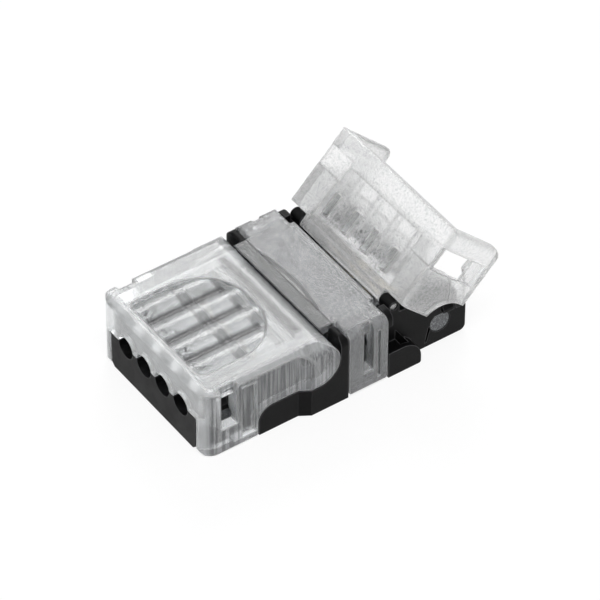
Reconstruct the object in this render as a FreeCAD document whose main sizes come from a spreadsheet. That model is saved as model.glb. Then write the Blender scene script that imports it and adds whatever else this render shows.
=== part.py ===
import FreeCAD, Part
import math
import os

import Sketcher
from FreeCAD import Placement, Rotation, Vector

# LED strip connector: a black shell with a natural contact carrier, four stamped contacts and
# three clear covers. It takes four wires at one end and a four-pad LED strip at the other.
# X runs from the wire end to the strip end, Y across the row of contacts, Z up.
# The origin is the centre of the underside. Lengths are millimetres.

doc = FreeCAD.newDocument("led_strip_connector")
sheet = doc.addObject("Spreadsheet::Sheet", "Sizes")

# Driving dimensions. Stations named "..._at" are measured from the wire end,
# and those named "..._inset" from the strip end.
DIMENSIONS = [
    ("overall_length", "24.8"),
    ("contact_pitch", "2.5"),
    # Walls and skirts, counted outwards from the row of wires and from the strip
    ("wire_row_margin", "0.275"),
    ("wire_wall", "0.75"),
    ("wire_skirt", "1.33"),
    ("strip_width", "10.0"),
    ("strip_clearance", "0.3"),
    ("strip_wall", "1.3"),
    ("strip_skirt", "0.85"),
    ("middle_skirt", "1.1"),
    # Heights above the underside
    ("top_height", "6.45"),
    ("parting_height", "3.3"),
    ("strip_floor_height", "2.6"),
    ("shell_floor", "1.0"),
    # Clearances
    ("seam", "0.1"),
    ("side_gap", "0.12"),
    ("strip_side_gap", "0.15"),
    ("pin_gap", "0.05"),
    ("drop_in_gap", "0.05"),
    ("bridge_gap", "0.15"),
    ("strip_wall_gap", "0.5"),
    ("window_gap", "0.15"),
    ("lobe_gap", "0.7"),
    # Wire entries
    ("wire_hole_diameter", "1.95"),
    ("front_wall", "1.0"),
    ("channel_clearance", "0.05"),
    ("channel_chamfer", "0.55"),
    # Wire cover and its hinge
    ("cover_plate", "1.0"),
    ("cover_edge_radius", "0.75"),
    ("cover_corner_radius", "1.1"),
    ("wire_pivot_at", "10.1"),
    ("wire_end_radius", "1.94"),
    ("wire_end_top_radius", "1.7"),
    ("wire_plate_end_at", "11.6"),
    ("wire_pin_radius", "0.4"),
    ("wire_cheek_radius", "0.7"),
    ("kink_start_at", "8.5"),
    ("kink_end_at", "9.4"),
    ("thumb_pad_width", "9.8"),
    ("thumb_pad_start_at", "1.0"),
    ("thumb_pad_end_at", "9.2"),
    ("thumb_pad_depth", "0.4"),
    ("flute_radius", "2.2"),
    ("panel_depth", "0.4"),
    ("wire_window_start_at", "1.4"),
    ("wire_window_end_at", "2.95"),
    ("wire_window_bottom", "2.4"),
    ("wire_channel_depth", "0.5"),
    ("window_frame", "0.4"),
    ("front_rib_at", "4.9"),
    ("back_rib_at", "8.1"),
    ("rib_thickness", "0.9"),
    ("hinge_rib_at", "9.45"),
    ("hinge_rib_thickness", "0.4"),
    ("hinge_rib_depth", "0.8"),
    # Lobes of the shell beside the skirts
    ("wire_lobe_at", "4.9"),
    ("wire_lobe_height", "2.6"),
    ("wire_lobe_radius", "1.3"),
    ("pillar", "0.7"),
    ("strip_lobe_height", "2.5"),
    ("strip_lobe_length", "3.1"),
    ("strip_lobe_radius", "1.75"),
    # Middle cover
    ("middle_length", "3.6"),
    ("middle_plate", "0.75"),
    ("middle_window_length", "0.95"),
    ("middle_channel_depth", "0.6"),
    ("middle_lip", "0.42"),
    ("middle_hinge_lip", "0.3"),
    ("lens_depth", "0.25"),
    ("lens_rise", "0.65"),
    ("lens_width", "9.2"),
    # Strip cover and its hinge
    ("ear", "0.55"),
    ("ear_height", "1.3"),
    ("barrel_gap", "0.2"),
    ("barrel_radius", "0.5"),
    ("strip_pin_radius", "0.3"),
    ("strip_plate", "0.75"),
    ("strip_edge_radius", "0.6"),
    ("strip_corner_radius", "0.6"),
    ("strip_overhang", "0.85"),
    ("strip_window_inset", "1.65"),
    ("strip_window_length", "1.9"),
    ("strip_window_bottom", "2.2"),
    ("strip_channel_depth", "0.3"),
    ("strip_channel_bottom", "0.8"),
    ("contact_slot_at", "0.85"),
    ("contact_slot_length", "2.1"),
    ("contact_slot_width", "0.6"),
    ("pad_start", "0.4"),
    ("pad_end_inset", "1.3"),
    ("rest_opening", "45"),
    # Latch tabs and carrier bosses
    ("tab_height", "0.4"),
    ("tab_clearance", "0.12"),
    ("tab_setback", "0.3"),
    ("tab_length", "1.0"),
    ("wire_tab_rise", "1.2"),
    ("strip_tab_rise", "0.9"),
    ("boss_radius", "0.9"),
    ("boss_height", "2.0"),
    ("boss_flat", "0.75"),
    ("wire_boss_at", "2.45"),
    ("strip_boss_inset", "2.45"),
    ("wedge_start_inset", "6.75"),
    ("wedge_length", "1.95"),
    ("wedge_height", "3.0"),
    ("side_cut_low", "0.45"),
    ("side_cut_depth", "0.7"),
    ("slit_setback", "0.55"),
    ("shell_chamfer", "0.35"),
    # Contacts
    ("metal", "0.3"),
    ("contact_width", "1.2"),
    ("fork_at", "6.9"),
    ("fork_width", "1.6"),
    ("fork_slot", "0.5"),
    ("fork_tip_height", "4.6"),
    ("fork_chamfer", "0.3"),
    ("fork_shoulder", "0.45"),
    ("fork_lead", "0.12"),
    ("arm_rise", "0.75"),
    ("nose_height", "3.4"),
    ("nose_inset", "5.1"),
]


class Size:
    """A number that carries the sheet expression it was worked out from."""

    def __init__(self, value, text):
        self.value = float(value)
        self.text = text

    def __float__(self):
        return self.value

    def __add__(self, other):
        other = size(other)
        return Size(self.value + other.value, f"({self.text} + {other.text})")

    def __radd__(self, other):
        return size(other) + self

    def __sub__(self, other):
        other = size(other)
        return Size(self.value - other.value, f"({self.text} - {other.text})")

    def __rsub__(self, other):
        return size(other) - self

    def __mul__(self, other):
        other = size(other)
        return Size(self.value * other.value, f"({self.text} * {other.text})")

    def __rmul__(self, other):
        return size(other) * self

    def __truediv__(self, other):
        other = size(other)
        return Size(self.value / other.value, f"({self.text} / {other.text})")

    def __neg__(self):
        return self * -1


def size(number):
    return number if isinstance(number, Size) else Size(number, repr(float(number)))


def root(number):
    return Size(math.sqrt(number.value), f"sqrt({number.text})")


def cosine(angle):
    return Size(math.cos(math.radians(angle.value)), f"cos({angle.text} * 1 deg)")


def sine(angle):
    return Size(math.sin(math.radians(angle.value)), f"sin({angle.text} * 1 deg)")


def read_sizes():
    """Fills the sheet and returns each alias as a Size."""
    named = {}
    for row, (alias, number) in enumerate(DIMENSIONS, start=1):
        sheet.set(f"A{row}", alias)
        sheet.set(f"B{row}", number)
        sheet.setAlias(f"B{row}", alias)
        named[alias] = Size(number, f"Sizes.{alias}")
    doc.recompute()
    return named


D = read_sizes()


def bind(thing, path, amount):
    thing.setExpression(path, size(amount).text)


def place(thing, x=0, y=0, z=0):
    for axis, amount in (("x", x), ("y", y), ("z", z)):
        bind(thing, f"Placement.Base.{axis}", amount)
    return thing


def box(name, x, y, z):
    """A block between pairs of X, Y and Z positions."""
    block = doc.addObject("Part::Box", name)
    for edge, (low, high) in (("Length", x), ("Width", y), ("Height", z)):
        bind(block, edge, size(high) - low)
    return place(block, x[0], y[0], z[0])


def rod(name, x, z, radius, y):
    """A round bar along Y, between a pair of Y positions."""
    bar = doc.addObject("Part::Cylinder", name)
    bar.Placement = Placement(Vector(), Rotation(Vector(1, 0, 0), -90))
    bind(bar, "Radius", radius)
    bind(bar, "Height", size(y[1]) - y[0])
    return place(bar, x, y[0], z)


def rod_along(name, x, y, z, radius):
    """A round bar along X, between a pair of X positions."""
    bar = doc.addObject("Part::Cylinder", name)
    bar.Placement = Placement(Vector(), Rotation(Vector(0, 1, 0), 90))
    bind(bar, "Radius", radius)
    bind(bar, "Height", size(x[1]) - x[0])
    return place(bar, x[0], y, z)


PLANES = {
    "side": Rotation(Vector(1, 0, 0), 90),
    "section": Rotation(Vector(1, 1, 1), 120),
    "plan": Rotation(),
}


def outline(name, corners):
    """A closed sketch through corners (across, up) or, where rounded, (across, up, radius)."""
    sketch = doc.addObject("Sketcher::SketchObject", name)
    spots = [Vector(float(size(c[0])), float(size(c[1])), 0) for c in corners]
    arrive, leave, arcs = [], [], []
    for index, corner in enumerate(corners):
        here = spots[index]
        inward = (here - spots[index - 1]).normalize()
        outward = (spots[(index + 1) % len(spots)] - here).normalize()
        radius = float(size(corner[2])) if len(corner) > 2 else 0.0
        turn = math.atan2(inward.x * outward.y - inward.y * outward.x, inward.dot(outward))
        reach = radius * math.tan(abs(turn) / 2)
        arrive.append(here - inward * reach)
        leave.append(here + outward * reach)
        left = Vector(-inward.y, inward.x, 0)
        centre = arrive[-1] + left * math.copysign(radius, turn)
        arcs.append((centre, radius, turn) if radius else None)
    for index in range(len(corners)):
        side = Part.LineSegment(leave[index], arrive[(index + 1) % len(corners)])
        sketch.addGeometry(side, False)
    for index, corner in enumerate(corners):
        before = (index - 1) % len(corners)
        if arcs[index] is None:
            sketch.addConstraint(Sketcher.Constraint("Coincident", before, 2, index, 1))
            pin_point(sketch, index, corner)
            continue
        centre, radius, turn = arcs[index]
        ends = (arrive[index], leave[index]) if turn > 0 else (leave[index], arrive[index])
        angles = [math.atan2(end.y - centre.y, end.x - centre.x) for end in ends]
        circle = Part.Circle(centre, Vector(0, 0, 1), radius)
        arc = sketch.addGeometry(Part.ArcOfCircle(circle, angles[0], angles[1]), False)
        spot = sketch.addGeometry(Part.Point(spots[index]), True)
        first, second = (1, 2) if turn > 0 else (2, 1)
        sketch.addConstraint(Sketcher.Constraint("Tangent", before, 2, arc, first))
        sketch.addConstraint(Sketcher.Constraint("Tangent", arc, second, index, 1))
        sketch.addConstraint(Sketcher.Constraint("PointOnObject", spot, 1, before))
        sketch.addConstraint(Sketcher.Constraint("PointOnObject", spot, 1, index))
        held = sketch.addConstraint(Sketcher.Constraint("Radius", arc, radius))
        bind(sketch, f"Constraints[{held}]", corner[2])
        pin_point(sketch, spot, corner)
    return sketch


def pin_point(sketch, element, corner):
    """Ties the start of a sketch element to a corner's two positions."""
    for kind, amount in (("DistanceX", corner[0]), ("DistanceY", corner[1])):
        rule = Sketcher.Constraint(kind, -1, 1, element, 1, float(size(amount)))
        held = sketch.addConstraint(rule)
        bind(sketch, f"Constraints[{held}]", amount)


def prism(name, plane, corners, span):
    """An outline on the side (X, Z), section (Y, Z) or plan (X, Y) plane, pushed through a span."""
    sketch = outline(f"{name}_outline", corners)
    sketch.Placement = Placement(Vector(), PLANES[plane])
    solid = doc.addObject("Part::Extrusion", name)
    solid.Base = sketch
    solid.DirMode = "Normal"
    solid.Solid = True
    bind(solid, "LengthFwd", size(span[1]) - span[0])
    if plane == "side":
        place(sketch, y=span[1])
    elif plane == "section":
        place(sketch, x=span[0])
    else:
        place(sketch, z=span[0])
    return solid


def joined(name, shapes):
    whole = doc.addObject("Part::MultiFuse", name)
    whole.Shapes = shapes
    return whole


def shared(name, shapes):
    """The volume that every shape has in common."""
    whole = doc.addObject("Part::MultiCommon", name)
    whole.Shapes = shapes
    return whole


def carved(name, stock, tools):
    whole = doc.addObject("Part::Cut", name)
    whole.Base = stock
    whole.Tool = tools[0] if len(tools) == 1 else joined(f"{name}_tools", tools)
    return whole


def both_sides(name, make):
    """Calls make(label, low, high) for the near and far side, with signed Y positions."""
    return [make(f"{name}_near", lambda a, b: (-b, -a)), make(f"{name}_far", lambda a, b: (a, b))]


# Places that several pieces share
half = 0.5
wire_end = -D["overall_length"] * half
strip_end = D["overall_length"] * half
lanes = [step - 1.5 for step in range(4)]

hole_radius = D["wire_hole_diameter"] * half
wire_cavity = D["contact_pitch"] * lanes[-1] + hole_radius + D["wire_row_margin"]
wire_shell = wire_cavity + D["wire_wall"]
wire_half = wire_shell + D["side_gap"] + D["wire_skirt"]
strip_slot = D["strip_width"] * half + D["strip_clearance"]
strip_shell = strip_slot + D["strip_wall"]
strip_half = strip_shell + D["strip_side_gap"] + D["strip_skirt"]
wide_half = strip_shell + D["drop_in_gap"] + D["middle_skirt"]

wire_pivot_x = wire_end + D["wire_pivot_at"]
skirt_edge = D["wire_lobe_height"] + D["seam"]
wire_pivot_z = skirt_edge + D["wire_end_radius"]
wire_cover_end = wire_pivot_x + D["wire_end_radius"]
pillar_start = wire_cover_end + D["seam"]
pillar_end = pillar_start + D["pillar"]
middle_start = pillar_end + D["seam"]
middle_end = middle_start + D["middle_length"]
ear_start = middle_end + D["seam"]
ear_end = ear_start + D["ear"]
strip_pivot_x = ear_end + D["barrel_gap"] + D["barrel_radius"]
strip_pivot_z = D["top_height"] - D["barrel_radius"]
strip_cover_start = strip_pivot_x + D["barrel_radius"] + D["seam"]
strip_cover_end = strip_end + D["strip_overhang"]
strip_window_end = strip_cover_end - D["strip_window_inset"]
strip_window_start = strip_window_end - D["strip_window_length"]
strip_tab_start = strip_window_start + D["tab_setback"]
strip_tab_x = (strip_tab_start, strip_tab_start + D["tab_length"])
strip_tab_low = D["strip_window_bottom"] + D["tab_setback"] * 3
strip_tab_z = (strip_tab_low, strip_tab_low + D["strip_tab_rise"])
wire_wall_top = D["top_height"] - D["cover_plate"] - D["seam"]
bridge_top = D["top_height"] - D["middle_plate"] - D["bridge_gap"]
strip_under = D["top_height"] - D["strip_plate"]
strip_wall_top = strip_under - D["strip_wall_gap"]
window_top = D["top_height"] - D["cover_plate"] - D["window_gap"]
wire_window = (wire_end + D["wire_window_start_at"], wire_end + D["wire_window_end_at"])
wire_tab_start = wire_window[0] + D["tab_setback"]
wire_tab_x = (wire_tab_start, wire_tab_start + D["tab_length"])
wire_tab_z = (window_top - D["tab_setback"] - D["wire_tab_rise"], window_top - D["tab_setback"])
lobe_end = ear_start + D["strip_lobe_length"]
lobe_centre_x = lobe_end - D["strip_lobe_radius"]
lobe_centre_z = D["strip_lobe_height"] - D["strip_lobe_radius"]
wire_boss_x = wire_end + D["wire_boss_at"]
strip_boss_x = strip_end - D["strip_boss_inset"]
middle_boss_x = (middle_start + middle_end) * half
over = 1.0


def rounded_section(name, half_width, low, top, radius, span):
    """A long bar across Y with rounded top edges, used to shape the covers and pillars."""
    corners = [(-half_width, low), (half_width, low), (half_width, top, radius), (-half_width, top, radius)]
    return prism(name, "section", corners, span)


def wire_plan(name, low, high):
    """The plan of the wire end: narrow at the wires, kinked out to the wide middle."""
    kink_start = wire_end + D["kink_start_at"]
    kink_end = wire_end + D["kink_end_at"]
    corner = D["cover_corner_radius"]
    near = [(wire_end, -wire_half, corner), (kink_start, -wire_half), (kink_end, -wide_half)]
    far = [(kink_end, wide_half), (kink_start, wire_half), (wire_end, wire_half, corner)]
    ends = [(middle_start, -wide_half), (middle_start, wide_half)]
    return prism(name, "plan", near + ends + far, (low, high))


def wire_hole_tools(name, span):
    """Four round bars along X, for the wire holes in the front wall."""
    tools = []
    for lane, step in enumerate(lanes, start=1):
        y = D["contact_pitch"] * step
        tools.append(rod_along(f"{name}_{lane}", span, y, D["parting_height"], hole_radius))
    return tools


def channel_tools(name, span):
    """Four eight-sided bars along X, for the channels that guide the wires behind their holes."""
    tools = []
    middle = D["parting_height"]
    edge = hole_radius + D["channel_clearance"]
    flat = edge - D["channel_chamfer"]
    for lane, step in enumerate(lanes, start=1):
        y = D["contact_pitch"] * step
        corners = [
            (y - edge, middle - flat), (y - flat, middle - edge),
            (y + flat, middle - edge), (y + edge, middle - flat),
            (y + edge, middle + flat), (y + flat, middle + edge),
            (y - flat, middle + edge), (y - edge, middle + flat),
        ]
        tools.append(prism(f"{name}_{lane}", "section", corners, span))
    return tools


def boss_tools(name, x, reach, radius):
    """A D-shaped bar through both side walls at one boss place."""
    bar = rod(f"{name}_round", x, D["boss_height"], radius, (-reach, reach))
    top = D["boss_height"] + D["boss_flat"] + (radius - D["boss_radius"])
    trim = box(f"{name}_flat", (x - over, x + over), (-reach, reach), (size(0), top))
    return shared(name, [bar, trim])


def make_shell():
    """Black shell: floor, side walls, front wall with lower half holes, lobes, pillars and ears."""
    top = wire_wall_top
    cheek = D["wire_cheek_radius"]
    low_wall = D["parting_height"] - D["seam"]
    front = wire_end + D["front_wall"] + D["seam"]
    side = [
        (wire_end, size(0)), (middle_start, size(0)), (middle_start, low_wall),
        (wire_pivot_x + cheek, low_wall), (wire_pivot_x + cheek, top, cheek - 0.05), (front, top),
        (front, D["parting_height"]), (wire_end, D["parting_height"]),
    ]
    chamfer = D["shell_chamfer"]
    section = [
        (-wire_shell, chamfer), (-wire_shell + chamfer, size(0)), (wire_shell - chamfer, size(0)),
        (wire_shell, chamfer), (wire_shell, top), (-wire_shell, top),
    ]
    wire_block = shared("shell_wire_block", [
        prism("shell_wire_side", "side", side, (-wire_shell, wire_shell)),
        prism("shell_wire_section", "section", section, (wire_end, middle_start)),
    ])
    hinge = D["barrel_radius"]
    hinge_top = strip_pivot_z + hinge
    end_top = D["strip_floor_height"]
    side = [
        (pillar_start, size(0)), (strip_end, size(0), 0.5), (strip_end, end_top), (strip_end - 0.9, end_top),
        (strip_end - 1.2, strip_wall_top, 0.3), (strip_pivot_x + hinge, strip_wall_top),
        (strip_pivot_x + hinge, hinge_top, hinge - 0.02), (strip_pivot_x - hinge, hinge_top, hinge - 0.02),
        (strip_pivot_x - hinge, bridge_top), (pillar_start, bridge_top),
    ]
    strip_block = prism("shell_strip_side", "side", side, (-strip_shell, strip_shell))
    wire_room = box("wire_room", (wire_end + D["front_wall"], middle_start), (-wire_cavity, wire_cavity),
                    (D["shell_floor"], D["top_height"]))
    swing_room = box("swing_room", (pillar_start - over, middle_start - D["middle_lip"] + 0.3),
                     (-wire_shell - D["side_gap"], wire_shell + D["side_gap"]), (low_wall, D["top_height"]))
    strip_room = box("strip_room", (pillar_start, strip_end - 0.5), (-strip_slot, strip_slot),
                     (D["shell_floor"], D["top_height"] + over))
    mouth = box("strip_mouth", (strip_end - over, strip_end + over), (-strip_slot, strip_slot),
                (end_top, D["top_height"]))

    lobe = [
        (wire_end + D["wire_lobe_at"], size(0)), (pillar_end, size(0)),
        (pillar_end, D["top_height"] - D["seam"], 0.3), (pillar_start, D["top_height"] - D["seam"], 0.2),
        (pillar_start, D["wire_lobe_height"], D["wire_end_radius"] + D["seam"]),
        (wire_end + D["wire_lobe_at"], D["wire_lobe_height"], D["wire_lobe_radius"]),
    ]
    lobes = shared("wire_lobes", [
        prism("wire_lobe_side", "side", lobe, (-wide_half, wide_half)),
        wire_plan("wire_lobe_plan", size(0), D["top_height"]),
        rounded_section("wire_lobe_section", wide_half, size(0), D["top_height"] - D["seam"],
                        D["cover_edge_radius"], (wire_end, middle_start)),
    ])
    lobe_room = box("lobe_room", (wire_end, pillar_end + over), (-wire_shell - 0.2, wire_shell + 0.2),
                    (D["shell_floor"], D["top_height"]))
    lobe_floor = box("lobe_floor", (wire_end, pillar_end + over), (-wire_cavity, wire_cavity),
                     (size(-1), D["shell_floor"]))
    lobes = carved("wire_lobes_cut", lobes, [lobe_room, lobe_floor])
    lobe_roots = both_sides("lobe_root", lambda label, span: box(
        label, (wire_end + D["wire_lobe_at"] + 0.3, pillar_end), span(wire_shell - 0.1, wire_shell + 0.3),
        (size(0), D["wire_lobe_height"] - 0.4)))
    pillar_roots = both_sides("pillar_root", lambda label, span: box(
        label, (pillar_start, pillar_end), span(wire_shell - 0.1, wire_shell + 0.6),
        (size(0), low_wall)))

    strip_lobe = [
        (ear_start, size(0)), (lobe_end, size(0), 0.2),
        (lobe_end, D["strip_lobe_height"], D["strip_lobe_radius"]), (ear_start, D["strip_lobe_height"]),
    ]
    strip_lobes = both_sides("strip_lobe", lambda label, span: prism(
        label, "side", strip_lobe, span(strip_shell - 0.2, wide_half)))
    ear_top = D["top_height"] - D["seam"]
    ear_reach = wide_half - 0.3
    ear_z = (ear_top - D["ear_height"], ear_top)
    ears = both_sides("ear", lambda label, span: box(
        label, (ear_start, ear_end), span(strip_shell - 0.4, ear_reach), ear_z))
    ears = shared("ears", [
        joined("ear_pair", ears),
        rounded_section("ear_section", ear_reach, size(0), ear_top, D["cover_edge_radius"],
                        (middle_end, strip_cover_start)),
    ])

    body = joined("shell_stock", [wire_block, strip_block])
    body = carved("shell_hollow", body, [wire_room, swing_room, strip_room, mouth])
    added = [lobes, ears] + lobe_roots + pillar_roots + strip_lobes + latch_tabs()
    body = joined("shell_with_lobes", [body] + added)
    return body, shell_cuts()


def latch_tabs():
    """Wedges on the side walls that the cover windows snap over."""
    tabs = []
    rise = D["tab_height"]
    middle_tab = D["middle_window_length"] * half - D["tab_clearance"]
    places = [
        ("wire_tab", wire_tab_x, wire_shell, wire_tab_z),
        ("middle_tab", (middle_boss_x - middle_tab, middle_boss_x + middle_tab), strip_shell, wire_tab_z),
        ("strip_tab", strip_tab_x, strip_shell, strip_tab_z),
    ]
    for name, x, wall, (low, high) in places:
        root_at, tip_at, tip_top = wall - 0.1, wall + rise, low + 0.25
        near = [(-root_at, low), (-root_at, high), (-wall, high), (-tip_at, tip_top), (-tip_at, low)]
        far = [(root_at, low), (tip_at, low), (tip_at, tip_top), (wall, high), (root_at, high)]
        tabs.append(prism(f"{name}_near", "section", near, x))
        tabs.append(prism(f"{name}_far", "section", far, x))
    return tabs


def shell_cuts():
    """Half holes, hinge bores, boss holes and the side cut-outs of the strip end."""
    cuts = wire_hole_tools("shell_hole", (wire_end - over, wire_end + D["front_wall"] + over))
    for name, x, z, radius in (
        ("wire_bore", wire_pivot_x, wire_pivot_z, D["wire_pin_radius"] + D["pin_gap"]),
        ("strip_bore", strip_pivot_x, strip_pivot_z, D["strip_pin_radius"] + D["pin_gap"]),
    ):
        cuts.append(rod(name, x, z, radius, (-strip_shell - over * 0.1, strip_shell + over * 0.1)))
    fit = D["boss_radius"] + D["drop_in_gap"]
    cuts.append(boss_tools("wire_boss_hole", wire_boss_x, strip_shell, fit))
    cuts.append(boss_tools("strip_boss_hole", strip_boss_x, strip_shell + over, fit))
    cuts.append(boss_tools("middle_boss_hole", middle_boss_x, strip_shell + over, fit))
    wedge_x = strip_end - D["wedge_start_inset"]
    wedge_z = D["side_cut_low"]
    wedge = [
        (wedge_x, wedge_z), (wedge_x + D["wedge_length"], wedge_z), (wedge_x, wedge_z + D["wedge_height"]),
    ]
    depth = D["side_cut_depth"]
    cuts += both_sides("wedge", lambda label, span: prism(
        label, "side", wedge, span(strip_shell - depth, strip_shell + depth)))
    slit_top = strip_boss_x - D["slit_setback"]
    slit = [
        (slit_top - 0.9, wedge_z), (slit_top - 0.7, wedge_z),
        (slit_top - 0.3, D["boss_height"]), (slit_top - D["slit_setback"], D["boss_height"]),
    ]
    cuts += both_sides("slit", lambda label, span: prism(
        label, "side", slit, span(strip_shell - depth, strip_shell + depth)))
    return cuts


def make_carrier():
    """Natural carrier that drops into the shell: wire channels, bridge and strip floor."""
    gap = D["drop_in_gap"]
    low = D["shell_floor"] + gap
    start = wire_end + D["front_wall"] + gap
    channel_top = D["parting_height"] - D["seam"] * 2
    channel_end = wire_pivot_x - 0.1
    bridge_start = middle_start - D["middle_lip"] + 0.45
    bridge_end = strip_pivot_x - D["barrel_radius"] - D["bridge_gap"]
    carrier_top = bridge_top - D["drop_in_gap"]
    side = [
        (start, low), (strip_end - 0.5 - gap, low), (strip_end - 0.5 - gap, D["strip_floor_height"]),
        (bridge_end, D["strip_floor_height"]), (bridge_end, carrier_top, 0.1),
        (bridge_start, carrier_top, 0.4), (bridge_start, D["boss_height"] + 0.2),
        (channel_end, D["boss_height"] + 0.2), (channel_end, channel_top), (start, channel_top),
    ]
    narrow = wire_cavity - gap
    wide = strip_slot - gap
    plan = [
        (start, -narrow), (middle_start + gap, -narrow), (middle_start + gap, -wide),
        (strip_end - 0.5 - gap, -wide), (strip_end - 0.5 - gap, wide),
        (middle_start + gap, wide), (middle_start + gap, narrow), (start, narrow),
    ]
    block = shared("carrier_block", [
        prism("carrier_side", "side", side, (-wide, wide)),
        prism("carrier_plan", "plan", plan, (low, D["top_height"])),
    ])
    bosses = []
    for name, x, inner, wall in (
        ("wire_boss", wire_boss_x, narrow, wire_shell), ("strip_boss", strip_boss_x, wide, strip_shell),
        ("middle_boss", middle_boss_x, wide, strip_shell),
    ):
        studs = boss_tools(name, x, wall - 0.05, D["boss_radius"])
        middle = box(f"{name}_middle", (x - over * 2, x + over * 2), (-inner + 0.1, inner - 0.1),
                     (size(0), size(5)))
        bosses.append(carved(f"{name}_studs", studs, [middle]))
    stock = joined("carrier_stock", [block] + bosses)

    cuts = channel_tools("channel", (start - over, wire_pivot_x + over))
    fork_x = wire_end + D["fork_at"]
    for lane, step in enumerate(lanes, start=1):
        y = D["contact_pitch"] * step
        strip_edge = D["contact_width"] * half + 0.05
        fork_edge = D["fork_width"] * half + 0.05
        cuts.append(box(f"contact_groove_{lane}", (wire_end + D["fork_at"] - 2.1, contact_fold_x() + 0.2),
                        (y - strip_edge, y + strip_edge), (size(0), low + D["metal"] + 0.1)))
        cuts.append(box(f"fork_slot_{lane}", (fork_x - 0.08, fork_x + D["metal"] + 0.08),
                        (y - fork_edge, y + fork_edge), (size(0), D["top_height"])))
        cuts.append(box(f"nose_slot_{lane}", (nose_x() - 1.1, contact_fold_x() + 0.2),
                        (y - strip_edge, y + strip_edge), (size(0), D["top_height"])))
    return stock, cuts


def contact_fold_x():
    return strip_end - D["nose_inset"] + 2.6


def nose_x():
    return strip_end - D["nose_inset"]


def make_contact(lane):
    """One stamped contact: a slotted fork that bites the wire, a strip and a folded-back spring nose."""
    name = f"contact_{lane}"
    metal = D["metal"]
    low = D["shell_floor"] + D["drop_in_gap"]
    fork_x = wire_end + D["fork_at"]
    fold = contact_fold_x()
    nose = nose_x()
    arm_low = low + D["arm_rise"]
    tip = D["nose_height"]
    spring = [
        (fork_x - 2.0, low), (fold, low, 0.5),
        (fold, arm_low + metal, 0.5), (nose + 0.9, arm_low + metal, 0.3),
        (nose, tip, 0.35), (nose - 0.8, tip - 0.7), (nose - 0.62, tip - 0.95), (nose, tip - 0.42, 0.15),
        (nose + 0.8, arm_low, 0.15), (fold - metal, arm_low, 0.2), (fold - metal, low + metal, 0.2),
        (fork_x - 2.0, low + metal),
    ]
    width = D["contact_width"] * half
    strip = prism(f"{name}_strip", "side", spring, (-width, width))
    fork_half = D["fork_width"] * half
    slot = D["fork_slot"] * half
    fork_top = D["fork_tip_height"]
    slot_low = D["parting_height"] - hole_radius + 0.35
    shoulder = fork_top - D["fork_shoulder"]
    tip_half = fork_half - D["fork_chamfer"]
    lead = slot + D["fork_lead"]
    throat = fork_top - 0.8
    fork = [
        (-fork_half, low + 0.02), (fork_half, low + 0.02), (fork_half, shoulder), (tip_half, fork_top),
        (lead, shoulder), (slot, throat), (slot, slot_low), (-slot, slot_low),
        (-slot, throat), (-lead, shoulder), (-tip_half, fork_top), (-fork_half, shoulder),
    ]
    blade = prism(f"{name}_fork", "section", fork, (fork_x, fork_x + metal))
    whole = joined(name, [strip, blade])
    bind(whole, "Placement.Base.y", D["contact_pitch"] * lanes[lane - 1])
    return whole


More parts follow.
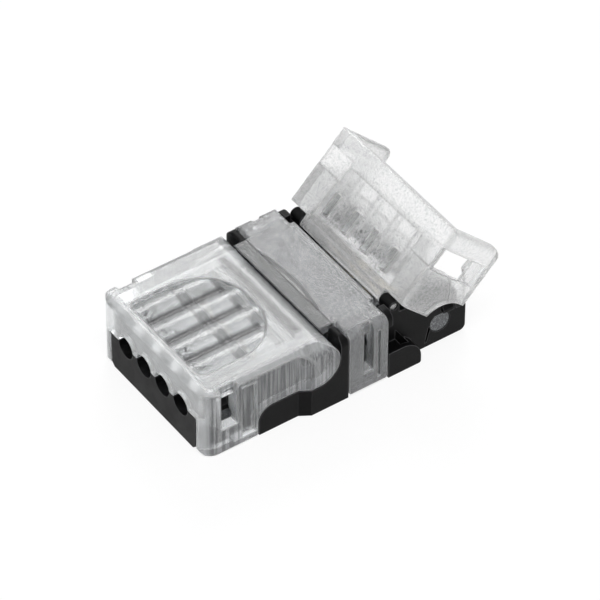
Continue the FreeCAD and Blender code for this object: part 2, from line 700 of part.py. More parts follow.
def make_wire_cover():
    """Clear wire cover: hinged at its rounded end, windows at the wire end, fluted thumb pad on top."""
    top = D["top_height"]
    lobe_x = wire_end + D["wire_lobe_at"] - D["seam"]
    side = [
        (wire_end, D["seam"], 0.2), (lobe_x, D["seam"], 0.2),
        (lobe_x, skirt_edge, D["wire_lobe_radius"] + D["seam"]),
        (wire_cover_end, skirt_edge, D["wire_end_radius"]), (wire_cover_end, top, D["wire_end_top_radius"]),
        (wire_end, top, 0.5),
    ]
    outer = shared("wire_cover_outer", [
        prism("wire_cover_side", "side", side, (-wide_half, wide_half)),
        wire_plan("wire_cover_plan", size(0), top),
        rounded_section("wire_cover_section", wide_half, size(0), top, D["cover_edge_radius"] + 0.3,
                        (wire_end, middle_start)),
    ])
    inner = wire_shell + D["side_gap"]
    under = top - D["cover_plate"]
    room = box("wire_cover_room", (wire_end + D["front_wall"], middle_start), (-inner, inner),
               (size(-1), under))
    front_room = box("wire_cover_front_room", (wire_end - over, wire_end + D["front_wall"] + over),
                     (-inner, inner), (size(-1), D["parting_height"] + D["seam"]))
    end_trim = box("wire_cover_end_trim", (wire_end + D["wire_plate_end_at"], middle_start), (-inner, inner),
                   (size(-1), top + over))
    body = carved("wire_cover_shell", outer, [room, front_room, end_trim])

    rib_half = wire_cavity - 0.15
    ribs = []
    for name, station, thickness, low in (
        ("front_rib", D["front_rib_at"], D["rib_thickness"], D["parting_height"] + 0.05),
        ("back_rib", D["back_rib_at"], D["rib_thickness"], D["parting_height"] + 0.05),
        ("hinge_rib", D["hinge_rib_at"], D["hinge_rib_thickness"], under - D["hinge_rib_depth"]),
    ):
        x = wire_end + station
        ribs.append(box(name, (x, x + thickness), (-rib_half, rib_half), (low, under + 0.1)))
    studs = both_sides("wire_stud", lambda label, span: rod(
        label, wire_pivot_x, wire_pivot_z, D["wire_pin_radius"], span(wire_cavity + 0.1, inner + 0.1)))
    body = joined("wire_cover_filled", [body] + ribs + studs)
    inside = wire_end + D["front_wall"]
    cuts = wire_hole_tools("cover_hole", (wire_end - over, inside + over))
    cuts += channel_tools("rib_notch", (inside + over, wire_pivot_x))
    cuts += window_cuts("wire_window", wire_window, (D["wire_window_bottom"], window_top))
    cuts += both_sides("wire_channel", lambda label, span: box(
        label, wire_window, span(wire_half - D["wire_channel_depth"], wire_half + over),
        (D["wire_window_bottom"], top + over)))
    panel = (wire_window[1] + D["window_frame"], wire_end + D["wire_lobe_at"] - D["window_frame"] * half)
    panel_z = (size(0.6), D["top_height"] - 0.7)
    cuts += both_sides("wire_panel", lambda label, span: box(
        label, panel, span(wire_half - D["panel_depth"], wire_half + over), panel_z))
    cuts.append(arc_relief("wire_relief", (wire_pivot_x, wire_pivot_z), wire_tab_reach(), wire_shell, -1))
    cuts.append(thumb_pad())
    return body, cuts


def window_cuts(name, x, z):
    """A through window in each side skirt."""
    return both_sides(name, lambda label, span: box(label, x, span(wire_shell - over, wide_half + over), z))


def wire_tab_reach():
    """Nearest and farthest distance of the wire-end latch tab from the hinge axis."""
    far_x = wire_pivot_x - wire_tab_x[0]
    drop = wire_pivot_z - wire_tab_z[0]
    return wire_pivot_x - wire_tab_x[1], root(far_x * far_x + drop * drop)


def strip_tab_reach():
    """Nearest and farthest distance of the strip-end latch tab from the hinge axis."""
    near_x = strip_tab_x[0] - strip_pivot_x
    far_x = strip_tab_x[1] - strip_pivot_x
    rise = strip_pivot_z - strip_tab_z[1]
    drop = strip_pivot_z - strip_tab_z[0]
    return root(near_x * near_x + rise * rise), root(far_x * far_x + drop * drop)


def arc_relief(name, axis, reach, wall, toward):
    """The arc-shaped groove inside both skirts that lets the latch tab pass as the cover swings."""
    x, z = axis
    outer = wall + D["tab_height"] + D["tab_clearance"]
    near = reach[0] - D["tab_clearance"]
    far = reach[1] + D["tab_clearance"]
    ring = carved(f"{name}_ring", rod(f"{name}_far", x, z, far, (-outer, outer)),
                  [rod(f"{name}_near", x, z, near, (-outer - over, outer + over))])
    edge = x + far * toward
    sector_x = (edge, x + near * toward * 0.2) if toward < 0 else (x, edge)
    high = z + 0.6 if toward < 0 else z - 2.0
    sector = box(f"{name}_sector", sector_x, (-outer, outer), (z - far, high))
    return shared(name, [ring, sector])


def thumb_pad():
    """The D-shaped recess on the wire cover, with one convex flute over each wire."""
    pad = D["thumb_pad_width"] * half
    start = wire_end + D["thumb_pad_start_at"]
    end = wire_end + D["thumb_pad_end_at"]
    low = D["top_height"] - D["thumb_pad_depth"]
    plan = [(start, -pad, 0.8), (end, -pad, pad - 0.6), (end, pad, pad - 0.6), (start, pad, 0.8)]
    recess = prism("thumb_pad_plan", "plan", plan, (low, D["top_height"] + over))
    flutes = []
    for lane, step in enumerate(lanes, start=1):
        y = D["contact_pitch"] * step
        flutes.append(rod_along(f"flute_{lane}", (start - over, end + over), y,
                                D["top_height"] - 0.08 - D["flute_radius"], D["flute_radius"]))
    return carved("thumb_pad", recess, flutes)


def make_middle_cover():
    """Clear middle cover: a saddle clipped over the shell between the two hinged covers."""
    top = D["top_height"]
    side = [
        (middle_start, D["seam"] * 2, 0.2), (middle_end, D["seam"] * 2, 0.2), (middle_end, top, 0.15),
        (middle_start, top, 0.15),
    ]
    outer = shared("middle_outer", [
        prism("middle_side", "side", side, (-wide_half, wide_half)),
        rounded_section("middle_section", wide_half, size(0), top, D["cover_edge_radius"],
                        (middle_start, middle_end)),
    ])
    inner = strip_shell + D["drop_in_gap"]
    under = top - D["middle_plate"]
    lip = box("middle_lip_plate", (middle_start - D["middle_lip"], middle_start + 0.5),
              (-wire_shell, wire_shell), (under, top))
    hinge_lip = box("middle_hinge_lip_plate", (middle_end - 0.5, middle_end + D["middle_hinge_lip"]),
                    (-strip_slot, strip_slot), (under, top))
    body = joined("middle_stock", [outer, lip, hinge_lip])
    cuts = [box("middle_room", (middle_start - over, middle_end + over), (-inner, inner), (size(-1), under))]
    window = D["middle_window_length"] * half
    cuts += window_cuts("middle_window", (middle_boss_x - window, middle_boss_x + window),
                        (size(1.7), window_top - 0.1))
    cuts += both_sides("middle_channel", lambda label, span: box(
        label, (middle_boss_x - window, middle_boss_x + window),
        span(wide_half - D["middle_channel_depth"], wide_half + over), (size(1.7), top + over)))
    groove = 0.3
    cuts += both_sides("middle_groove", lambda label, span: box(
        label, (middle_boss_x + window + 0.35, middle_boss_x + window + 0.65),
        span(wide_half - groove, wide_half + over), (size(0.7), top - 0.9)))
    rise = D["lens_rise"]
    chord = D["lens_width"] * half
    radius = (chord * chord + rise * rise) / (rise * 2)
    edge = middle_start - D["middle_lip"]
    disc = doc.addObject("Part::Cylinder", "lens_disc")
    bind(disc, "Radius", radius)
    bind(disc, "Height", D["lens_depth"] + over)
    place(disc, edge + rise - radius, 0, top - D["lens_depth"])
    field = box("lens_field", (edge + 0.12, middle_end), (-chord, chord), (size(0), top + over * 2))
    cuts.append(shared("lens", [disc, field]))
    return body, cuts


def make_strip_cover():
    """Clear strip cover, drawn closed: hinge barrel, windows, strip pad and the arc round the lobe."""
    top = D["top_height"]
    start = strip_cover_start
    end = strip_cover_end
    side = [(start, D["seam"] * 2), (end, D["seam"] * 2, 0.8), (end, top, 0.3), (start, top, 0.12)]
    corner = D["strip_corner_radius"]
    plan = [(start, -strip_half), (end, -strip_half, corner), (end, strip_half, corner), (start, strip_half)]
    outer = shared("strip_outer", [
        prism("strip_cover_side", "side", side, (-strip_half, strip_half)),
        prism("strip_cover_plan", "plan", plan, (size(0), top)),
        rounded_section("strip_cover_section", strip_half, size(0), top, D["strip_edge_radius"],
                        (start, end)),
    ])
    inner = strip_shell + D["strip_side_gap"]
    sweep = D["strip_lobe_radius"] + D["lobe_gap"]
    hub = rod("lobe_sweep", lobe_centre_x, lobe_centre_z, sweep, (-strip_half - over, strip_half + over))
    foot = box("lobe_foot", (start - over, lobe_centre_x + sweep), (-strip_half - over, strip_half + over),
               (size(-1), lobe_centre_z))
    room = box("strip_cover_room", (start - over, end + over), (-inner, inner), (size(-1), strip_under))
    body = carved("strip_cover_shell", outer, [hub, foot, room])
    barrel_half = strip_slot - D["seam"]
    barrel_span = (-barrel_half, barrel_half)
    barrel = rod("hinge_barrel", strip_pivot_x, strip_pivot_z, D["barrel_radius"], barrel_span)
    leaf = box("hinge_leaf", (strip_pivot_x, start + 0.2), barrel_span, (strip_under, top))
    pin_half = strip_shell - D["seam"]
    pin = rod("hinge_pin", strip_pivot_x, strip_pivot_z, D["strip_pin_radius"], (-pin_half, pin_half))
    pad_low = D["nose_height"] + 0.45
    pad_x = start + D["pad_start"]
    pad_end = strip_end - D["pad_end_inset"]
    pad_half = strip_slot - 0.25
    pad_side = [
        (pad_x, strip_under + 0.1), (pad_x, pad_low + 0.5, 0.3), (pad_x + 0.6, pad_low, 0.3),
        (pad_end, pad_low, 0.3), (pad_end, strip_under + 0.1),
    ]
    pad = prism("strip_pad", "side", pad_side, (-pad_half, pad_half))
    body = joined("strip_cover_filled", [body, barrel, leaf, pin, pad])

    window = (strip_window_start, strip_window_end)
    cuts = window_cuts("strip_window", window, (D["strip_window_bottom"], strip_under + 0.2))
    cuts += both_sides("strip_channel", lambda label, span: box(
        label, window, span(strip_half - D["strip_channel_depth"], strip_half + over),
        (D["strip_channel_bottom"], top + over)))
    axis = (strip_pivot_x, strip_pivot_z)
    cuts.append(arc_relief("strip_relief", axis, strip_tab_reach(), strip_shell, 1))
    slot_start = start + D["contact_slot_at"]
    for lane, step in enumerate(lanes, start=1):
        y = D["contact_pitch"] * step
        edge = D["contact_slot_width"] * half
        cuts.append(box(f"contact_slot_{lane}", (slot_start, slot_start + D["contact_slot_length"]),
                        (y - edge, y + edge), (strip_under - 0.4, top + over)))
        cuts.append(box(f"pad_groove_{lane}", (pad_x + 1.2, pad_end + over), (y - edge, y + edge),
                        (pad_low - over, pad_low + 0.5)))
    return body, cuts


def open_strip_cover(cover):
    """Turns the closed strip cover to its rest angle about the hinge axis."""
    angle = D["rest_opening"]
    cover.Placement = Placement(Vector(), Rotation(Vector(0, -1, 0), float(angle)))
    cover.setExpression("Placement.Rotation.Angle", f"{angle.text} * 1 deg")
    turned_x = strip_pivot_x * cosine(angle) - strip_pivot_z * sine(angle)
    turned_z = strip_pivot_x * sine(angle) + strip_pivot_z * cosine(angle)
    place(cover, strip_pivot_x - turned_x, 0, strip_pivot_z - turned_z)


def build():
    pieces = {}
    for name, make in (
        ("base_shell", make_shell), ("contact_carrier", make_carrier), ("wire_cover", make_wire_cover),
        ("middle_cover", make_middle_cover), ("strip_cover", make_strip_cover),
    ):
        stock, cuts = make()
        pieces[name] = carved(name, stock, cuts)
        pieces[name].Label = name
    for lane in range(1, 5):
        piece = make_contact(lane)
        piece.Label = f"contact_{lane}"
        pieces[piece.Label] = piece
    open_strip_cover(pieces["strip_cover"])
    doc.recompute()
    return pieces


def check(pieces):
    for thing in doc.Objects:
        faults = [state for state in thing.State if state in ("Invalid", "Error")]
        if faults:
            raise RuntimeError(f"{thing.Name} failed: {thing.State}")
    for name, piece in pieces.items():
        shape = piece.Shape
        if shape.isNull() or not shape.isValid():
            raise RuntimeError(f"{name} has no valid shape")
        print(name, "solids", len(shape.Solids), "volume", round(shape.Volume, 3))


pieces = build()
check(pieces)
os.makedirs("parts", exist_ok=True)
for name, piece in pieces.items():
    piece.Shape.exportStep(f"parts/{name}.step")
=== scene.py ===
import math

import bpy
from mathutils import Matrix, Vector


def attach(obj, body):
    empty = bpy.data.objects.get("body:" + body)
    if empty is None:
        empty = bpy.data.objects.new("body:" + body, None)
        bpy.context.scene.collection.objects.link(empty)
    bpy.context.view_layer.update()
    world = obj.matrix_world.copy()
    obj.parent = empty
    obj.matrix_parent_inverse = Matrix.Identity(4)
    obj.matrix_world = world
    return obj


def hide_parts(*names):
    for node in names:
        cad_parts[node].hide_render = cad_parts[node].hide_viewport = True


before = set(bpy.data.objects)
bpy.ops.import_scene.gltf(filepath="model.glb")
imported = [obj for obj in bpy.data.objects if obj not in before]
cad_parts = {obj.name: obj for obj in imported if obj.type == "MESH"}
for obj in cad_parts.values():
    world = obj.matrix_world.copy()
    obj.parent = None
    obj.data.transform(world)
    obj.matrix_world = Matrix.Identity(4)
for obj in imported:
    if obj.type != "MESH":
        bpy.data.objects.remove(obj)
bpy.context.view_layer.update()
scene = bpy.context.scene
scene.view_settings.view_transform = "Standard"

# The camera stands in front of the wire end and looks down along the connector, far off with a
# long lens, so that parallel edges stay nearly parallel.
camera_data = bpy.data.cameras.new("camera")
camera_data.lens = 300
camera_data.sensor_width = 36
camera_data.clip_start = 0.01
camera_data.shift_x = 0.0293
camera_data.shift_y = 0.0273
camera = bpy.data.objects.new("camera", camera_data)
scene.collection.objects.link(camera)
turn, climb = math.radians(-34.9), math.radians(43.5)
back = Vector((math.sin(turn) * math.cos(climb), -math.cos(turn) * math.cos(climb), math.sin(climb)))
aim = Vector((-0.00034, 0, 0.003))
distance = 0.3867
camera.rotation_euler = back.to_track_quat("Z", "Y").to_euler()
camera.location = aim + back * distance
scene.camera = camera

# The studio is a white sweep under two soft lamps. The floor and the sky show plain white to the
# camera and in what mirrors or passes light, and the floor keeps a faint shadow of the connector.


def calculate(tree, kind, *values):
    """One Math node; each value is a socket or a plain number."""
    node = tree.nodes.new("ShaderNodeMath")
    node.operation = kind
    for socket, value in zip(node.inputs, values):
        if isinstance(value, (int, float)):
            socket.default_value = value
        else:
            tree.links.new(value, socket)
    return node.outputs[0]


def shown_share(tree):
    """1 for a ray from the camera, straight, mirrored or passed through clear plastic."""
    path = tree.nodes.new("ShaderNodeLightPath")
    straight = calculate(tree, "MAXIMUM", path.outputs["Is Camera Ray"], path.outputs["Is Glossy Ray"])
    return calculate(tree, "MAXIMUM", straight, path.outputs["Is Transmission Ray"])


def blended(tree, share, lit, shown):
    """Mixes two shaders: lit where the share is 0, shown where it is 1."""
    blend = tree.nodes.new("ShaderNodeMixShader")
    tree.links.new(share, blend.inputs[0])
    tree.links.new(lit.outputs[0], blend.inputs[1])
    tree.links.new(shown.outputs[0], blend.inputs[2])
    return blend


floor_drop = 0.00002
floor_shadow = 0.15
bpy.ops.mesh.primitive_plane_add(size=1.2, location=(0, 0, -floor_drop))
floor = bpy.context.object
floor.name = "floor"
paper = bpy.data.materials.new("white_paper")
paper.use_nodes = True
tree = paper.node_tree
tree.nodes.clear()
matte = tree.nodes.new("ShaderNodeBsdfDiffuse")
matte.inputs["Color"].default_value = (0.92, 0.92, 0.92, 1)
glow = tree.nodes.new("ShaderNodeEmission")
glow.inputs["Strength"].default_value = 1.0
share = calculate(tree, "MULTIPLY", shown_share(tree), 1 - floor_shadow)
out = tree.nodes.new("ShaderNodeOutputMaterial")
tree.links.new(blended(tree, share, matte, glow).outputs[0], out.inputs["Surface"])
floor.data.materials.append(paper)

world = bpy.data.worlds.new("studio")
scene.world = world
world.use_nodes = True
tree = world.node_tree
tree.nodes.clear()
sky = tree.nodes.new("ShaderNodeBackground")
sky.inputs["Color"].default_value = (1, 1, 1, 1)
sky.inputs["Strength"].default_value = 0.6
white = tree.nodes.new("ShaderNodeBackground")
white.inputs["Color"].default_value = (1, 1, 1, 1)
white.inputs["Strength"].default_value = 1.0
out = tree.nodes.new("ShaderNodeOutputWorld")
tree.links.new(blended(tree, shown_share(tree), sky, white).outputs[0], out.inputs["Surface"])


def soft_lamp(name, place, power, width):
    """A square lamp that faces the connector."""
    data = bpy.data.lights.new(name, "AREA")
    data.shape = "SQUARE"
    data.size = width
    data.energy = power
    lamp = bpy.data.objects.new(name, data)
    scene.collection.objects.link(lamp)
    lamp.location = place
    lamp.rotation_euler = Vector(place).to_track_quat("Z", "Y").to_euler()


soft_lamp("key_lamp", (-0.06, -0.10, 0.32), 0.52, 0.14)
soft_lamp("back_lamp", (0.16, 0.22, 0.20), 0.40, 0.12)

# Base shell: one black moulding, satin from a fine spark-eroded mould. The carrier, the contacts
# and the middle cover go into it from above, and both hinged covers turn in its bores.


def socketed_group(name, inputs, outputs):
    """An empty shader group with its sockets, ready to be filled."""
    group = bpy.data.node_groups.new(name, "ShaderNodeTree")
    for label, kind, value in inputs:
        socket = group.interface.new_socket(label, in_out="INPUT", socket_type=kind)
        socket.default_value = value
    for label, kind in outputs:
        group.interface.new_socket(label, in_out="OUTPUT", socket_type=kind)
    return group, group.nodes.new("NodeGroupInput"), group.nodes.new("NodeGroupOutput")


def spread_over(tree, value, low, high, to_low=0.0, to_high=1.0):
    """One Map Range node; the bounds are sockets or plain numbers."""
    node = tree.nodes.new("ShaderNodeMapRange")
    tree.links.new(value, node.inputs["Value"])
    for label, bound in (("From Min", low), ("From Max", high), ("To Min", to_low), ("To Max", to_high)):
        if isinstance(bound, (int, float)):
            node.inputs[label].default_value = bound
        else:
            tree.links.new(bound, node.inputs[label])
    return node.outputs[0]


def mixed_colour(tree, share, first, second):
    """One colour mix; each side is a socket or an RGB triple."""
    node = tree.nodes.new("ShaderNodeMix")
    node.data_type = "RGBA"
    tree.links.new(share, node.inputs["Factor"])
    for label, value in (("A", first), ("B", second)):
        if isinstance(value, tuple):
            node.inputs[label].default_value = (*value, 1)
        else:
            tree.links.new(value, node.inputs[label])
    return node.outputs["Result"]


def grain_group():
    """Fine mould grain: a height for the bump, a mottle for the gloss and a share of specks."""
    group, given, gives = socketed_group(
        "mould_grain",
        [("Scale", "NodeSocketFloat", 9000.0), ("Stretch", "NodeSocketVector", (1, 1, 1))],
        [("Height", "NodeSocketFloat"), ("Mottle", "NodeSocketFloat"), ("Specks", "NodeSocketFloat")])
    add, join = group.nodes.new, group.links.new
    place = add("ShaderNodeTexCoord")
    spread = add("ShaderNodeVectorMath")
    spread.operation = "MULTIPLY"
    join(place.outputs["Object"], spread.inputs[0])
    join(given.outputs["Stretch"], spread.inputs[1])
    fine = add("ShaderNodeTexNoise")
    fine.inputs["Detail"].default_value = 3.0
    fine.inputs["Roughness"].default_value = 0.65
    join(spread.outputs[0], fine.inputs["Vector"])
    join(given.outputs["Scale"], fine.inputs["Scale"])
    join(fine.outputs["Fac"], gives.inputs["Height"])
    broad = add("ShaderNodeTexNoise")
    broad.inputs["Scale"].default_value = 700.0
    broad.inputs["Detail"].default_value = 4.0
    join(place.outputs["Object"], broad.inputs["Vector"])
    join(broad.outputs["Fac"], gives.inputs["Mottle"])
    join(spread_over(group, fine.outputs["Fac"], 0.5, 0.66), gives.inputs["Specks"])
    return group


def edge_group():
    """The rounded edge of a moulding: its normal, and a mask that is 1 where the edge turns."""
    group, given, gives = socketed_group(
        "moulded_edge", [("Width", "NodeSocketFloat", 0.0001)],
        [("Normal", "NodeSocketVector"), ("Edge", "NodeSocketFloat")])
    add, join = group.nodes.new, group.links.new
    rounded = add("ShaderNodeBevel")
    rounded.samples = 6
    join(given.outputs["Width"], rounded.inputs["Radius"])
    flat = add("ShaderNodeNewGeometry")
    agree = add("ShaderNodeVectorMath")
    agree.operation = "DOT_PRODUCT"
    join(rounded.outputs[0], agree.inputs[0])
    join(flat.outputs["Normal"], agree.inputs[1])
    join(spread_over(group, agree.outputs["Value"], 0.985, 0.86), gives.inputs["Edge"])
    join(rounded.outputs[0], gives.inputs["Normal"])
    return group


grain = grain_group()
edge = edge_group()


def placed_group(tree, group, **values):
    """A node group put into a material with its own values."""
    node = tree.nodes.new("ShaderNodeGroup")
    node.node_tree = group
    for label, value in values.items():
        node.inputs[label].default_value = value
    return node


def moulded(name, dark, light, edge_highlight, roughness, bump, scale, stretch=(1, 1, 1), width=0.0001,
            rim_roughness=None):
    """A material whose colour, gloss and relief vary with the mould grain and along rounded edges, where a
    lighter colour is painted as a highlight.
    """
    material = bpy.data.materials.new(name)
    material.use_nodes = True
    tree = material.node_tree
    shader = tree.nodes["Principled BSDF"]
    texture = placed_group(tree, grain, Scale=scale, Stretch=stretch)
    border = placed_group(tree, edge, Width=width)
    border.name = "border"
    face = mixed_colour(tree, texture.outputs["Specks"], dark, light)
    colour = mixed_colour(tree, border.outputs["Edge"], face, edge_highlight)
    tree.links.new(colour, shader.inputs["Base Color"])
    face_gloss = spread_over(tree, texture.outputs["Mottle"], 0.3, 0.7, roughness * 0.85, roughness * 1.15)
    gloss = spread_over(tree, border.outputs["Edge"], 0.0, 1.0, face_gloss, rim_roughness or roughness)
    tree.links.new(gloss, shader.inputs["Roughness"])
    relief = tree.nodes.new("ShaderNodeBump")
    relief.name = "relief"
    relief.inputs["Strength"].default_value = bump
    relief.inputs["Distance"].default_value = 0.00004
    tree.links.new(texture.outputs["Height"], relief.inputs["Height"])
    tree.links.new(border.outputs["Normal"], relief.inputs["Normal"])
    tree.links.new(relief.outputs[0], shader.inputs["Normal"])
    return material


def finished(node, material):
    """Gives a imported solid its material."""
    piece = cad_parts[node]
    piece.data.materials.clear()
    piece.data.materials.append(material)


# The shell's rounded edges are painted light grey as a highlight.
black = moulded(
    "black_shell", dark=(0.002, 0.002, 0.0022), light=(0.007, 0.007, 0.0074), edge_highlight=(0.10, 0.10, 0.104),
    roughness=0.40, bump=0.35, scale=14000, width=0.00012, rim_roughness=0.22)
black.node_tree.nodes["Principled BSDF"].inputs["Specular IOR Level"].default_value = 0.08
finished("base_shell", black)

# Contact carrier: a moulding of natural grey nylon that drops into the shell. Its studs show in
# the shell's round side holes, rough from the mould. Under the middle cover and by the wire
# cover's hinge it is painted dark as shade.


def inside_group():
    """A mask that is 1 inside a box and fades over a soft edge. The box may turn about a hinge along Y."""
    group, given, gives = socketed_group(
        "inside_box",
        [("Low", "NodeSocketVector", (0, 0, 0)), ("High", "NodeSocketVector", (0, 0, 0)),
         ("Soft", "NodeSocketFloat", 0.0001), ("Hinge", "NodeSocketVector", (0, 0, 0)),
         ("Turn", "NodeSocketFloat", 0.0)],
        [("Inside", "NodeSocketFloat")])
    place = group.nodes.new("ShaderNodeTexCoord")
    closed = group.nodes.new("ShaderNodeVectorRotate")
    closed.rotation_type = "Y_AXIS"
    group.links.new(place.outputs["Object"], closed.inputs["Vector"])
    group.links.new(given.outputs["Hinge"], closed.inputs["Center"])
    group.links.new(given.outputs["Turn"], closed.inputs["Angle"])
    parts = []
    for source in (closed.outputs[0], given.outputs["Low"], given.outputs["High"]):
        split = group.nodes.new("ShaderNodeSeparateXYZ")
        group.links.new(source, split.inputs[0])
        parts.append(split)
    point, low, high = parts
    total = None
    for axis in "XYZ":
        above = calculate(group, "SUBTRACT", point.outputs[axis], low.outputs[axis])
        below = calculate(group, "SUBTRACT", high.outputs[axis], point.outputs[axis])
        nearest = calculate(group, "MINIMUM", above, below)
        share = spread_over(group, nearest, 0.0, given.outputs["Soft"])
        total = share if total is None else calculate(group, "MULTIPLY", total, share)
    group.links.new(total, gives.inputs["Inside"])
    return group


inside = inside_group()


def tinted_zone(material, low, high, soft, tint, stipple=None, **turned):
    """Tints a material inside a box, evenly or as a stipple of the given scale."""
    tree = material.node_tree
    colour = tree.nodes["Principled BSDF"].inputs["Base Color"]
    share = placed_group(tree, inside, Low=low, High=high, Soft=soft, **turned).outputs["Inside"]
    if stipple:
        specks = placed_group(tree, grain, Scale=stipple).outputs["Specks"]
        share = calculate(tree, "MULTIPLY", share, specks)
    tree.links.new(mixed_colour(tree, share, colour.links[0].from_socket, tint), colour)


natural = moulded(
    "natural_carrier", dark=(0.07, 0.074, 0.08), light=(0.30, 0.31, 0.32), edge_highlight=(0.30, 0.31, 0.32),
    roughness=0.5, bump=0.9, scale=7000)
# Painted shade: the carrier is darkened under the wire cover's hinge, and inside the middle cover, where the
# dark also stands in for the shell's black latch.
carrier_shade = (0.012, 0.012, 0.013)
tinted_zone(natural, low=(0.0008, -0.0080, 0), high=(0.0036, 0.0080, 0.0034), soft=0.0001, tint=carrier_shade)
tinted_zone(natural, low=(-0.0032, -0.006, 0), high=(0.0006, 0.006, 0.0052), soft=0.0003, tint=carrier_shade)
finished("contact_carrier", natural)

# Contacts: four stamped strips of tinned brass with fine rolling lines along the strip. Each is
# pressed into its groove in the carrier.
# The contacts' rounded edges are painted lighter as a highlight.
brass = moulded(
    "contact_metal", dark=(0.50, 0.44, 0.34), light=(0.74, 0.66, 0.50), edge_highlight=(0.80, 0.74, 0.60),
    roughness=0.3, bump=0.2, scale=6000, stretch=(0.15, 1, 1))
brass.node_tree.nodes["Principled BSDF"].inputs["Metallic"].default_value = 1.0
for lane in range(1, 5):
    finished(f"contact_{lane}", brass)

# Middle cover: a clear polycarbonate saddle, frosted by its mould, that clips over the shell
# between the two hinged covers. Its lip runs on over the wire cover's rounded hinge end.
lip_face = 0.00012
lip_run = 0.0007
lip_top_run = 0.00037
lip_top_drop = 0.00004
lip_middle_height = 0.0062
crescent_centre = -0.01583
crescent_radius = 0.01661
frost_edge = 0.00003


def clear_plastic(name, dark, light, passes, roughness, bump, scale, width=0.00018):
    """Clear plastic with a frosted mould face: light passes, a little blurred, and edges are painted white as a
    highlight.
    """
    material = moulded(name, dark, light, (1, 1, 1), roughness, bump, scale, width=width, rim_roughness=0.55)
    shader = material.node_tree.nodes["Principled BSDF"]
    shader.inputs["Transmission Weight"].default_value = passes
    shader.inputs["IOR"].default_value = 1.45
    return material


def add_crescent(material):
    """Frosts the crescent that is sunk in the middle cover's top, in bright and dark grains that paint its
    sparkle as glints and shade.
    """
    tree = material.node_tree
    colour = tree.nodes["Principled BSDF"].inputs["Base Color"]
    place = tree.nodes.new("ShaderNodeTexCoord")
    from_centre = tree.nodes.new("ShaderNodeVectorMath")
    from_centre.operation = "MULTIPLY_ADD"
    from_centre.inputs[1].default_value = (1, 1, 0)
    from_centre.inputs[2].default_value = (-crescent_centre, 0, 0)
    tree.links.new(place.outputs["Object"], from_centre.inputs[0])
    reach = tree.nodes.new("ShaderNodeVectorMath")
    reach.operation = "LENGTH"
    tree.links.new(from_centre.outputs[0], reach.inputs[0])
    lens = spread_over(tree, reach.outputs["Value"], crescent_radius + frost_edge, crescent_radius - frost_edge)
    sunk = placed_group(tree, inside, Low=(0.0002, -0.0048, 0.0060), High=(0.0010, 0.0048, 0.00632),
                        Soft=frost_edge)
    lens = calculate(tree, "MULTIPLY", lens, sunk.outputs["Inside"])
    grains = placed_group(tree, grain, Scale=5500.0)
    # Painted sparkle: white grains as glints and near-black grains as shade on the real frost.
    painted_frost_sparkle = mixed_colour(tree, grains.outputs["Specks"], (1.0, 1.0, 1.0), (0.08, 0.08, 0.085))
    tree.links.new(mixed_colour(tree, lens, colour.links[0].from_socket, painted_frost_sparkle), colour)


clear_middle = clear_plastic(
    "clear_middle", dark=(0.56, 0.57, 0.58), light=(0.26, 0.265, 0.27), passes=0.76,
    roughness=0.22, bump=1.0, scale=5200)
# Painted shade: the lip over the wire cover's hinge end is tinted plain grey, and a dark line is painted where
# the lip leaves the saddle.
tinted_zone(clear_middle, low=(-0.0012, -0.006, 0.0050), high=(0.00014, 0.006, 0.0070), soft=0.00006,
            tint=(0.26, 0.265, 0.27))
tinted_zone(clear_middle, low=(0.00010, -0.006, 0.0055), high=(0.00030, 0.006, 0.0070), soft=0.00004,
            tint=(0.03, 0.03, 0.032))
add_crescent(clear_middle)

saddle = bpy.data.objects.new("middle_cover_finished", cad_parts["middle_cover"].data.copy())
scene.collection.objects.link(saddle)
for other in bpy.context.selected_objects:
    other.select_set(False)
saddle.select_set(True)
bpy.context.view_layer.objects.active = saddle
bpy.ops.object.mode_set(mode="EDIT")
bpy.ops.mesh.select_all(action="SELECT")
bpy.ops.mesh.remove_doubles(threshold=0.000001)
bpy.ops.mesh.select_all(action="DESELECT")
bpy.ops.object.mode_set(mode="OBJECT")
bpy.ops.mesh.customdata_custom_splitnormals_clear()

for face in saddle.data.polygons:
    face.select = face.normal.x < -0.99 and abs(face.center.x - lip_face) < 0.00002
bpy.ops.object.mode_set(mode="EDIT")
bpy.ops.mesh.select_mode(type="FACE")
bpy.ops.mesh.extrude_region_move(TRANSFORM_OT_translate={"value": (-lip_run, 0, 0)})
bpy.ops.mesh.select_mode(type="VERT")
bpy.ops.mesh.select_all(action="DESELECT")
bpy.ops.object.mode_set(mode="OBJECT")
for point in saddle.data.vertices:
    point.select = point.co.x < lip_face - lip_run / 2 and point.co.z > lip_middle_height
bpy.ops.object.mode_set(mode="EDIT")
bpy.ops.transform.translate(value=(-lip_top_run, 0, -lip_top_drop))
bpy.ops.object.mode_set(mode="OBJECT")
bpy.ops.object.shade_smooth_by_angle(angle=math.radians(28))
saddle.data.materials.clear()
saddle.data.materials.append(clear_middle)
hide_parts("middle_cover")
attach(saddle, "shell")

# Wire cover: clear polycarbonate, hinged at its rounded end on two moulded pins. Its top is
# fluted and finely ribbed for the thumb, and its skirts are frosted with upright draw lines.
flute_pitch = 0.0025
dot_pitch = 0.00028
fine_ribs = ((0.00066, 0.00005), (0.00092, 0.00004))
flute_floor, flute_side = 0.00014, 0.00050


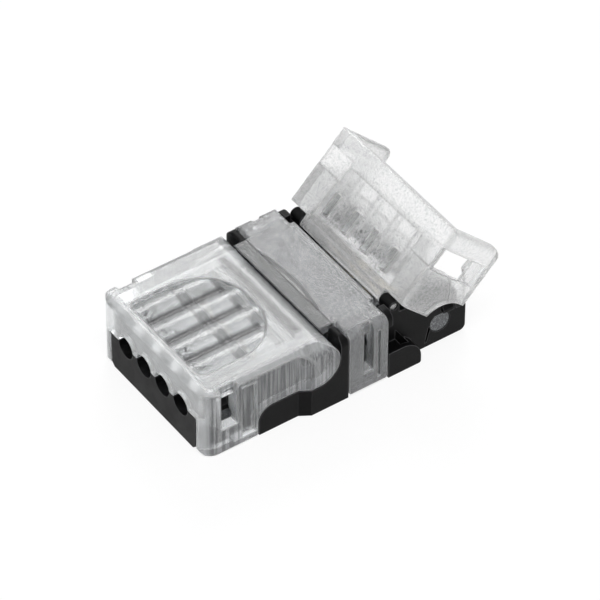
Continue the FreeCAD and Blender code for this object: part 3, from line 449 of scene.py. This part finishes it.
def streak_group():
    """Upright draw lines on the sides of a moulding: a share of lighter lines, and where the sides are."""
    group, given, gives = socketed_group(
        "draw_lines", [("Scale", "NodeSocketFloat", 5000.0)],
        [("Lines", "NodeSocketFloat"), ("Side", "NodeSocketFloat")])
    add, join = group.nodes.new, group.links.new
    place = add("ShaderNodeTexCoord")
    flatten = add("ShaderNodeVectorMath")
    flatten.operation = "MULTIPLY"
    flatten.inputs[1].default_value = (1, 1, 0.03)
    join(place.outputs["Object"], flatten.inputs[0])
    lines = add("ShaderNodeTexNoise")
    lines.inputs["Detail"].default_value = 0.5
    join(given.outputs["Scale"], lines.inputs["Scale"])
    join(flatten.outputs[0], lines.inputs["Vector"])
    split = add("ShaderNodeSeparateXYZ")
    join(place.outputs["Normal"], split.inputs[0])
    slope = calculate(group, "ABSOLUTE", split.outputs["Y"])
    upright = spread_over(group, slope, 0.6, 0.85)
    shown = spread_over(group, lines.outputs["Fac"], 0.42, 0.62)
    join(calculate(group, "MULTIPLY", shown, upright), gives.inputs["Lines"])
    join(upright, gives.inputs["Side"])
    return group


def add_draw_lines(material, dark, light, scale, strength):
    """Lays the draw lines over a material's colour and relief, paints the sides darker as shade under the
    lighter lines, and keeps the edges painted white as a highlight.
    """
    tree = material.node_tree
    shader = tree.nodes["Principled BSDF"]
    lines = placed_group(tree, streak_group(), Scale=scale)
    # Painted shade: the sides take a darker grey, crossed by lighter draw lines, which are the moulding's own.
    side = mixed_colour(tree, lines.outputs["Lines"], dark, light)
    under = shader.inputs["Base Color"].links[0].from_socket
    shaded_sides = mixed_colour(tree, lines.outputs["Side"], under, side)
    # Painted highlight: the rounded edges are painted white over the sides.
    highlighted_edges = mixed_colour(tree, tree.nodes["border"].outputs["Edge"], shaded_sides, (1.0, 1.0, 1.0))
    tree.links.new(highlighted_edges, shader.inputs["Base Color"])
    ridges = tree.nodes.new("ShaderNodeBump")
    ridges.inputs["Strength"].default_value = strength
    ridges.inputs["Distance"].default_value = 0.00005
    tree.links.new(lines.outputs["Lines"], ridges.inputs["Height"])
    tree.links.new(tree.nodes["relief"].outputs[0], ridges.inputs["Normal"])
    tree.links.new(ridges.outputs[0], shader.inputs["Normal"])


def flute_group():
    """The thumb pad: masks of the valleys between its flutes, where shade is painted, and of fine dotted ribs
    beside them, where highlights are painted.
    """
    group, given, gives = socketed_group(
        "thumb_flutes",
        [("Pitch", "NodeSocketFloat", flute_pitch), ("Dot Pitch", "NodeSocketFloat", dot_pitch)],
        [("Valley", "NodeSocketFloat"), ("Dots", "NodeSocketFloat")])
    place = group.nodes.new("ShaderNodeTexCoord")
    split = group.nodes.new("ShaderNodeSeparateXYZ")
    group.links.new(place.outputs["Object"], split.inputs[0])
    half_pitch = calculate(group, "MULTIPLY", given.outputs["Pitch"], 0.5)
    across = calculate(group, "PINGPONG", calculate(group, "ABSOLUTE", split.outputs["Y"]), half_pitch)
    group.links.new(spread_over(group, across, flute_side, flute_floor), gives.inputs["Valley"])
    near_rib, far_rib = [calculate(group, "COMPARE", across, *rib) for rib in fine_ribs]
    half_dot = calculate(group, "MULTIPLY", given.outputs["Dot Pitch"], 0.5)
    along = calculate(group, "PINGPONG", split.outputs["X"], half_dot)
    dots = spread_over(group, along, 0.00005, 0.00008)
    ribs = calculate(group, "MAXIMUM", near_rib, far_rib)
    group.links.new(calculate(group, "MULTIPLY", ribs, dots), gives.inputs["Dots"])
    return group


def add_flutes(material, low, high):
    """Paints the flutes' valleys dark as shade and their fine dotted ribs white as highlights, inside the thumb
    pad.
    """
    tree = material.node_tree
    colour = tree.nodes["Principled BSDF"].inputs["Base Color"]
    flutes = placed_group(tree, flute_group())
    pad = placed_group(tree, inside, Low=low, High=high, Soft=0.0002)
    valley = calculate(tree, "MULTIPLY", flutes.outputs["Valley"], pad.outputs["Inside"])
    dots = calculate(tree, "MULTIPLY", flutes.outputs["Dots"], pad.outputs["Inside"])
    # Painted shade in the valleys, and white painted highlights on the fine ribs.
    valley_shaded = mixed_colour(tree, valley, colour.links[0].from_socket, (0.10, 0.10, 0.105))
    tree.links.new(mixed_colour(tree, dots, valley_shaded, (1.0, 1.0, 1.0)), colour)


clear_wire = clear_plastic(
    "clear_wire", dark=(0.88, 0.90, 0.91), light=(1.0, 1.0, 1.0), passes=0.78,
    roughness=0.12, bump=0.3, scale=9000, width=0.00024)
# The skirts are painted darker grey as shade under real draw lines, and the edges stay painted white as a
# highlight.
add_draw_lines(clear_wire, dark=(0.30, 0.31, 0.32), light=(0.86, 0.87, 0.88), scale=6500, strength=0.25)
# Painted shade: a dark band by the hinge end, where the cover lies over the dark core.
tinted_zone(clear_wire, low=(-0.0032, -0.0054, 0.0050), high=(-0.0017, 0.0056, 0.0070), soft=0.0006,
            tint=(0.12, 0.123, 0.126))
# The flute valleys are painted dark as shade and the fine ribs white as highlights.
add_flutes(clear_wire, low=(-0.0112, -0.0036, 0.0050), high=(-0.0040, 0.0036, 0.0064))
# Painted shade: a dark stipple at the thumb pad's wire end.
tinted_zone(clear_wire, low=(-0.0115, -0.0046, 0.0050), high=(-0.0096, 0.0046, 0.0070), soft=0.0005,
            tint=(0.10, 0.105, 0.11), stipple=4500.0)
finished("wire_cover", clear_wire)

# Strip cover: clear polycarbonate with a sparkling textured plate, on a hinge barrel between the
# shell's cheeks. It is shown raised, and its zones of painted shade are placed as on the closed cover.
strip_hinge = {"Hinge": (0.00549, 0, 0.00595), "Turn": math.radians(45)}
skirt_shade_width = 0.0028
clear_strip = clear_plastic(
    "clear_strip", dark=(1.0, 1.0, 1.0), light=(0.66, 0.68, 0.69), passes=0.76,
    roughness=0.22, bump=1.0, scale=5500, width=0.00024)
# Painted shade: a dark stipple on the plate by the hinge.
tinted_zone(clear_strip, low=(0.0064, -0.0046, 0.0050), high=(0.0094, 0.0046, 0.0070), soft=0.0006,
            tint=(0.18, 0.185, 0.19), stipple=5200.0, **strip_hinge)
# Painted shade: a grey stipple on both skirts, where the closed cover lies over the dark shell.
for side in (-0.0088, 0.0060):
    tinted_zone(clear_strip, low=(0.0062, side, 0.0028), high=(0.0100, side + skirt_shade_width, 0.0066),
                soft=0.0010, tint=(0.34, 0.35, 0.36), stipple=6500.0, **strip_hinge)
finished("strip_cover", clear_strip)
